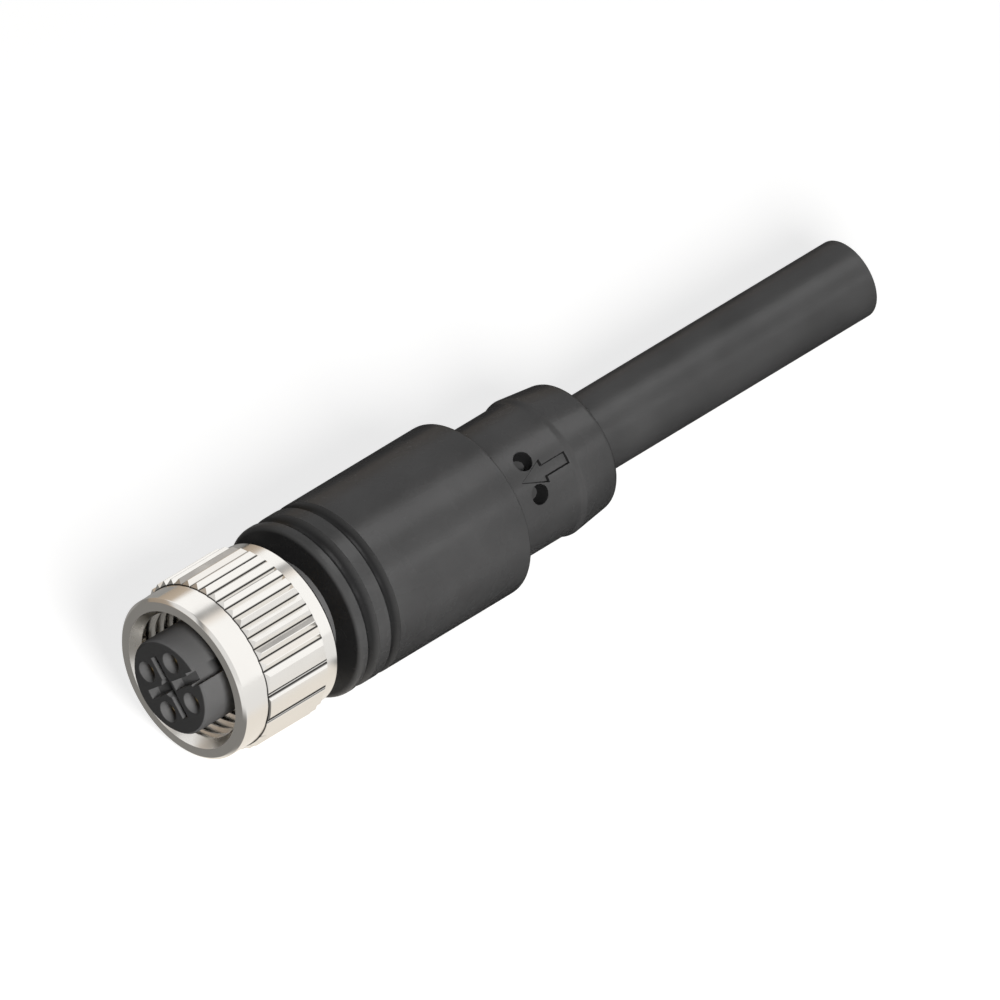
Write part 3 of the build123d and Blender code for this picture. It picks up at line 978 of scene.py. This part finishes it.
def grip_outline(s):
    """The grip's outer section from its front face to the cable's way out."""
    back = GRIP_HIGH.x
    fine_start = s.arrow_tip - MARK_MARGIN
    points = rounded([
        (GRIP_LOW.x, s.front_bore, 0),
        (GRIP_LOW.x, s.radius, s.front_round),
        (GROOVES[0][0], s.radius, 0),
    ], 8)
    for start, end in GROOVES:
        points += dented(start, end, s.radius, s.groove_depth)
    points += rounded([
        (GROOVES[-1][1] + GROOVE_GAP, s.radius, 0),
        (s.barrel_end, s.radius, s.barrel_round),
        (s.barrel_end, s.neck_radius, s.neck_round),
        (fine_start, s.neck_radius, 0),
    ], 6)
    points += [Vector((x, s.neck_radius))
               for x in steps_between(fine_start + RING_GAP, s.neck_end, FINE_STEP)]
    points += rounded([
        (s.neck_end + RING_GAP, s.neck_radius, 0),
        (s.neck_end + s.slope_start, s.neck_radius, s.slope_round),
        (s.collar_front - s.slope_end, s.collar_radius, s.slope_round),
        (back, s.collar_end_radius, s.collar_round),
        (back, s.cable_bore, s.bore_round),
        (back - s.bore_depth, s.cable_bore, 0),
    ], 6)
    return points


def grip_turns(s):
    """Angles round the grip from the arrow's line, close together near the sunk marks."""
    reach = MARK_REACH * s.mark_angle
    turns = steps_between(-reach, reach, FINE_STEP / s.neck_radius)
    turns += steps_between(reach, 2 * pi - reach, COARSE_TURN)
    return turns


def leans(face, limit):
    """Whether a face of the neck leans well away from the way out, as a sunk mark's wall does."""
    way_out = Vector((0, *face.center.yz)).normalized()
    return face.normal.dot(way_out) < limit


class SENSORCABLE_OT_grip(bpy.types.Operator):
    """Make the moulded grip with its grooves, arrow and round marks"""
    bl_idname = "sensorcable.grip"
    bl_label = "Grip"

    def execute(self, context):
        s = context.scene.sensorcable_grip
        gloss = (0.22, 0.30)
        turns = grip_turns(s)
        rings = []
        for x, radius in grip_outline(s):
            rings.append([
                around(x, s.key_place + turn, sunk(s, x, turn, radius)) for turn in turns
            ])
        mesh = tidy(grid_mesh("grip", rings), 40.0)
        dark = plastic("grip plastic", s.plastic, gloss)
        piece = put("grip_moulding", mesh, dark, GRIP_BODY)
        # The grooves, the front face and the sunk marks' walls take a second material with painted
        # shade, darker with depth.
        mesh.materials.append(paint_valley_shade(
            plastic("painted_shade plastic", s.plastic, gloss), s.groove,
            *(s.radius - part * s.groove_depth for part in GROOVE_PAINTED_SHADE),
        ))
        for face in mesh.polygons:
            x = face.center.x
            sunk_wall = s.arrow_tip - s.soft_edge < x < s.neck_end and leans(face, WALL_LEAN)
            if x < s.grooves_end or sunk_wall:
                face.material_index = 1
        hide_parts("grip_body")
        return {"FINISHED"}


# The cable

CABLE_ROUTE = [
    (JACKET_LOW.x, 0, 0),
    (JACKET_LOW.x + 15 * MM, 0, 0),
    (JACKET_HIGH.x - 15 * MM, 0, 0),
    (JACKET_HIGH.x, 0, 0),
]


def smooth_curve(name, points, resolution):
    """A smooth spline that has a route's points as its control points."""
    data = bpy.data.curves.new(name, "CURVE")
    data.dimensions = "3D"
    data.resolution_u = resolution
    spline = data.splines.new("NURBS")
    spline.points.add(len(points) - 1)
    for point, place in zip(spline.points, points):
        point.co = (*place, 1.0)
    spline.order_u = 3
    spline.use_endpoint_u = True
    return add_object(name, data)


def line_along(name, points):
    """Points read from the smooth spline of a route."""
    curve = smooth_curve(name, points, 12)
    data = curve.data
    mesh = baked(curve, name)
    line = [vertex.co.copy() for vertex in mesh.vertices]
    bpy.data.meshes.remove(mesh)
    bpy.data.curves.remove(data)
    return line


def wire_route(s, node):
    """The route of a wire's middle from its front to the cable's end, and the wire's radius."""
    low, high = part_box(node)
    ends = []
    for place in (low.x, high.x):
        spots = [vertex.co for vertex in nodes[node].data.vertices
                 if abs(vertex.co.x - place) < WIRE_END]
        corners = [Vector(map(pick, zip(*spots))) for pick in (min, max)]
        ends.append((corners[0] + corners[1]) / 2)
    radius = (corners[1].z - corners[0].z) / 2
    front, back = ends
    points = [front, (s.bend_start, *front.yz), (s.bend_end, *back.yz)]
    points += [(x, *back.yz) for x in steps_between(JACKET_LOW.x, back.x, ROUTE_STEP)]
    return [*points, back], radius


def make_sheath(s, line):
    """The cable's sheath along its route, with a cut end."""
    inner = s.radius - s.wall
    front, end = line[0].x, line[-1].x
    outline = [(front, inner), (front, s.radius)]
    outline += [(point.x, s.radius) for point in line[1:-1]]
    outline += rounded([
        (line[-2].x, s.radius, 0),
        (end, s.radius, s.edge),
        (end, inner, s.inner_edge),
        (front, inner, 0),
    ])[1:-1]
    mesh = tidy(lathe("sheath", outline, SHEATH_STEPS), 30.0)
    dark = plastic("sheath plastic", s.sheath, (0.30, 0.42), grain_size=2600.0,
                   grain_depth=0.008 * MM)
    sheath = put("cable_sheath", mesh, dark, GRIP_BODY)
    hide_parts("cable_jacket")
    return sheath


def make_wires(s):
    """The cores' colours and the strands inside them; what goes along with the sheath."""
    copper = metal("copper", s.copper, (0.25, 0.4))
    tree = strand_tree(copper)
    made = []
    for name, tone in CORE_TONES.items():
        core = nodes[f"core_{name}"]
        paint(core.data, plastic(f"core {name}", tone, (0.25, 0.4)))
        points, wire_radius = wire_route(s, f"conductor_{name}")
        mesh = run_tree(tree, f"strands {name}", smooth_curve("strand route", points, 8), {
            "Strand radius": wire_radius / WIRE_STRANDS,
            "Ring strands": s.strand_ring,
            "Turns in a metre": s.strand_turns,
        })
        strands = put(f"strands_{name}", tidy(mesh), copper, GRIP_BODY)
        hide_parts(f"conductor_{name}")
        made += [core, strands]
    return made


class SENSORCABLE_OT_cable(bpy.types.Operator):
    """Make the cable with its sheath, filling, cores and strands"""
    bl_idname = "sensorcable.cable"
    bl_label = "Cable"

    def execute(self, context):
        s = context.scene.sensorcable_cable
        line = line_along("cable route", CABLE_ROUTE)
        sheath = make_sheath(s, line)
        paint(nodes["cable_filler"].data, plastic("filling", s.filling, (0.5, 0.7)))
        make_wires(s)
        return {"FINISHED"}


# Floor, light and camera

def mirror_rays(tree, rays):
    """1 for the rays that a mirror or a glass sends on."""
    return math_node(tree, "MAXIMUM", rays["Is Glossy Ray"], rays["Is Transmission Ray"])


def lay_over(tree, shader, layers, output):
    """Lays shaders over a first one, each by its own share, and links the last one out."""
    for share, over in layers:
        shader = add_node(tree, "ShaderNodeMixShader", {
            "Fac": share,
            1: shader.outputs[0],
            2: over.outputs[0],
        })
    tree.links.new(shader.outputs[0], tree.nodes[output].inputs["Surface"])


def floor_cards(s, tree, split):
    """The floor's tone as metal mirrors it: dark, with cards of other tones laid on it."""
    across, along = split["Y"], split["X"]
    behind = math_node(tree, "ADD", along, math_node(tree, "MULTIPLY", across, BEHIND_SLANT))
    before = math_node(tree, "ADD", along, math_node(tree, "MULTIPLY", across, BEFORE_SLANT))
    tone = (0.03, 0.03, 0.03, 1)
    for name, shade, edges in (
        ("ground", s.floor_tone, ((behind, 12, 8),)),
        ("front ground", (0.265, 0.26, 0.25), ((along, 0.5, -0.5),)),
        ("warm card", (1.0, 0.95, 0.88), ((before, 13, 11.5), (along, -0.5, 0.5),
                                          (across, 4, -2))),
        ("white card", (1.0, 1.0, 1.0), ((across, -12, -20),)),
    ):
        cover = 1.0
        for value, start, end in edges:
            edge = spread(tree, value, start * MM, end * MM, kind="SMOOTHSTEP")
            cover = math_node(tree, "MULTIPLY", cover, edge)
        tone = mix_colours(tree, cover, tone, (*shade, 1))
        tone.node.label = name
    return tone


def make_floor(s):
    """A wide floor that the camera sees as white, with the object's shadow on it."""
    reach = s.floor_reach
    corners = ((-reach, -reach), (reach, -reach), (reach, reach), (-reach, reach))
    mesh = bpy.data.meshes.new("floor")
    mesh.from_pydata([(x, y, GRIP_LOW.z) for x, y in corners], [], [(0, 1, 2, 3)])
    floor = add_object("floor", mesh)
    material, tree, shader = new_material("floor", s.floor_tone, 0.9)
    shader.inputs["Specular IOR Level"].default_value = 0.0
    place, split = object_place(tree)
    tone = floor_cards(s, tree, split)
    tree.links.new(tone, shader.inputs["Base Color"])
    away = add_node(tree, "ShaderNodeVectorMath", {0: place}, operation="LENGTH")
    glow = spread(tree, away.outputs["Value"], s.white_near, s.white_far, *FLOOR_GLOW,
                  "SMOOTHSTEP")
    pale = add_node(tree, "ShaderNodeBsdfDiffuse", {"Color": (0.5, 0.5, 0.5, 1)})
    white = add_node(tree, "ShaderNodeEmission", {"Strength": glow})
    lit = add_node(tree, "ShaderNodeAddShader", {0: pale.outputs[0], 1: white.outputs[0]})
    rays = add_node(tree, "ShaderNodeLightPath").outputs
    share = math_node(tree, "MULTIPLY", mirror_rays(tree, rays), MIRRORED_SHARE)
    mirrored = add_node(tree, "ShaderNodeEmission", {"Color": tone})
    lay_over(tree, shader, ((share, mirrored), (rays["Is Camera Ray"], lit)), "Material Output")
    mesh.materials.append(material)


def make_world(scene, s):
    """An even surround, with a studio of pale walls for what is seen or mirrored."""
    world = bpy.data.worlds.new("surround")
    scene.world = world
    world.use_nodes = True
    tree = world.node_tree
    even = tree.nodes["Background"]
    even.inputs["Color"].default_value = (0.97, 0.98, 1.0, 1)
    even.inputs["Strength"].default_value = s.surround_light
    way = add_node(tree, "ShaderNodeTexCoord").outputs["Generated"]
    split = add_node(tree, "ShaderNodeSeparateXYZ", {"Vector": way}).outputs
    turn = math_node(tree, "ARCTAN2", math_node(tree, "MULTIPLY", split["Y"], -1.0), split["Z"])
    walls = add_node(tree, "ShaderNodeValToRGB", {"Fac": spread(tree, turn, -pi, pi)})
    stops = walls.color_ramp.elements
    for i, (place, tone) in enumerate(WALLS):
        stop = stops[i] if i < 2 else stops.new(place)
        stop.position = place
        stop.color = (*tone, 1)
    studio = add_node(tree, "ShaderNodeBackground", {
        "Color": walls.outputs["Color"],
        "Strength": spread(tree, split["X"], *STUDIO_ENDS, *STUDIO_LIGHT),
    })
    white = add_node(tree, "ShaderNodeBackground", {"Color": (1, 1, 1, 1)})
    rays = add_node(tree, "ShaderNodeLightPath").outputs
    lay_over(tree, even, (
        (mirror_rays(tree, rays), studio),
        (rays["Is Camera Ray"], white),
    ), "World Output")


def area_lamp(name, middle, way, along, power, **settings):
    """An area lamp that stands off from the middle and faces it, its width along a direction."""
    data = bpy.data.lights.new(name, "AREA")
    data.energy = power
    for label, value in settings.items():
        setattr(data, label, value)
    lamp = add_object(name, data)
    along = (along - way * way.dot(along)).normalized()
    lie = Matrix((along, way.cross(along), way)).transposed()
    lamp.matrix_world = Matrix.Translation(middle + way * STAND_OFF) @ lie.to_4x4()
    return lamp


def make_lamps(lean):
    """Two softboxes for all pieces, and two strips that only moulded pieces mirror."""
    middle = Vector(((GRIP_LOW.x + GRIP_HIGH.x) / 2, 0, 0))
    axis = Vector((1, 0, 0))
    for name, way, size, power, tone in SOFTBOXES:
        lamp = area_lamp(name, middle, Vector(way).normalized(), axis, power,
                         shape="DISK", size=size, color=tone)
        lamp.visible_glossy = False
    moulded = bpy.data.collections.new("moulded pieces")
    for name in ("grip_moulding", "cable_sheath"):
        moulded.objects.link(bpy.data.objects[name])
    for name, turn, width, power in STRIPS:
        way = around(lean, radians(turn), sqrt(1 - lean * lean))
        lamp = area_lamp(name, middle, way, axis, power,
                         shape="RECTANGLE", size=0.5, size_y=width)
        lamp.visible_diffuse = False
        lamp.light_linking.receiver_collection = moulded


def view_way(s):
    """The way from the object to the camera."""
    turn, rise = s.view_azimuth, s.view_elevation
    return Vector((sin(turn) * cos(rise), -cos(turn) * cos(rise), sin(rise)))


def make_camera(scene, s):
    """A level view without perspective, as the picture has."""
    back = view_way(s)
    right = Vector((cos(s.view_azimuth), sin(s.view_azimuth), 0))
    up = back.cross(right)
    data = bpy.data.cameras.new("camera")
    data.type = "ORTHO"
    data.ortho_scale = s.view_width
    camera = add_object("camera", data)
    camera.location = right * s.view_right + up * s.view_up + back * STAND_OFF
    camera.rotation_euler = (-back).to_track_quat("-Z", "Y").to_euler()
    scene.camera = camera


class SENSORCABLE_OT_stage(bpy.types.Operator):
    """Make the floor, the lights and the camera"""
    bl_idname = "sensorcable.stage"
    bl_label = "Stage"

    def execute(self, context):
        scene = context.scene
        s = scene.sensorcable_stage
        scene.view_settings.view_transform = "Standard"
        make_floor(s)
        make_world(scene, s)
        make_lamps(-view_way(s).x)
        make_camera(scene, s)
        return {"FINISHED"}


class SENSORCABLE_PT_panel(bpy.types.Panel):
    """Buttons for each piece of the sensor cable"""
    bl_idname = "SENSORCABLE_PT_panel"
    bl_label = "Sensor cable"
    bl_space_type = "VIEW_3D"
    bl_region_type = "UI"
    bl_category = "Sensor cable"

    def draw(self, context):
        for operator in OPERATORS:
            self.layout.operator(operator.bl_idname)


PROPERTIES = {
    "sensorcable_nut": NutSizes,
    "sensorcable_insert": InsertLooks,
    "sensorcable_grip": GripSizes,
    "sensorcable_cable": CableSizes,
    "sensorcable_stage": StageLooks,
}
OPERATORS = (
    SENSORCABLE_OT_nut,
    SENSORCABLE_OT_insert,
    SENSORCABLE_OT_grip,
    SENSORCABLE_OT_cable,
    SENSORCABLE_OT_stage,
)
CLASSES = (*PROPERTIES.values(), *OPERATORS, SENSORCABLE_PT_panel)


def register():
    for kind in CLASSES:
        bpy.utils.register_class(kind)
    for name, group in PROPERTIES.items():
        setattr(bpy.types.Scene, name, PointerProperty(type=group))


def unregister():
    for name in PROPERTIES:
        delattr(bpy.types.Scene, name)
    for kind in reversed(CLASSES):
        bpy.utils.unregister_class(kind)


def main():
    register()
    bpy.ops.sensorcable.nut()
    bpy.ops.sensorcable.insert()
    bpy.ops.sensorcable.grip()
    bpy.ops.sensorcable.cable()
    bpy.ops.sensorcable.stage()


if __name__ == "__main__":
    main()
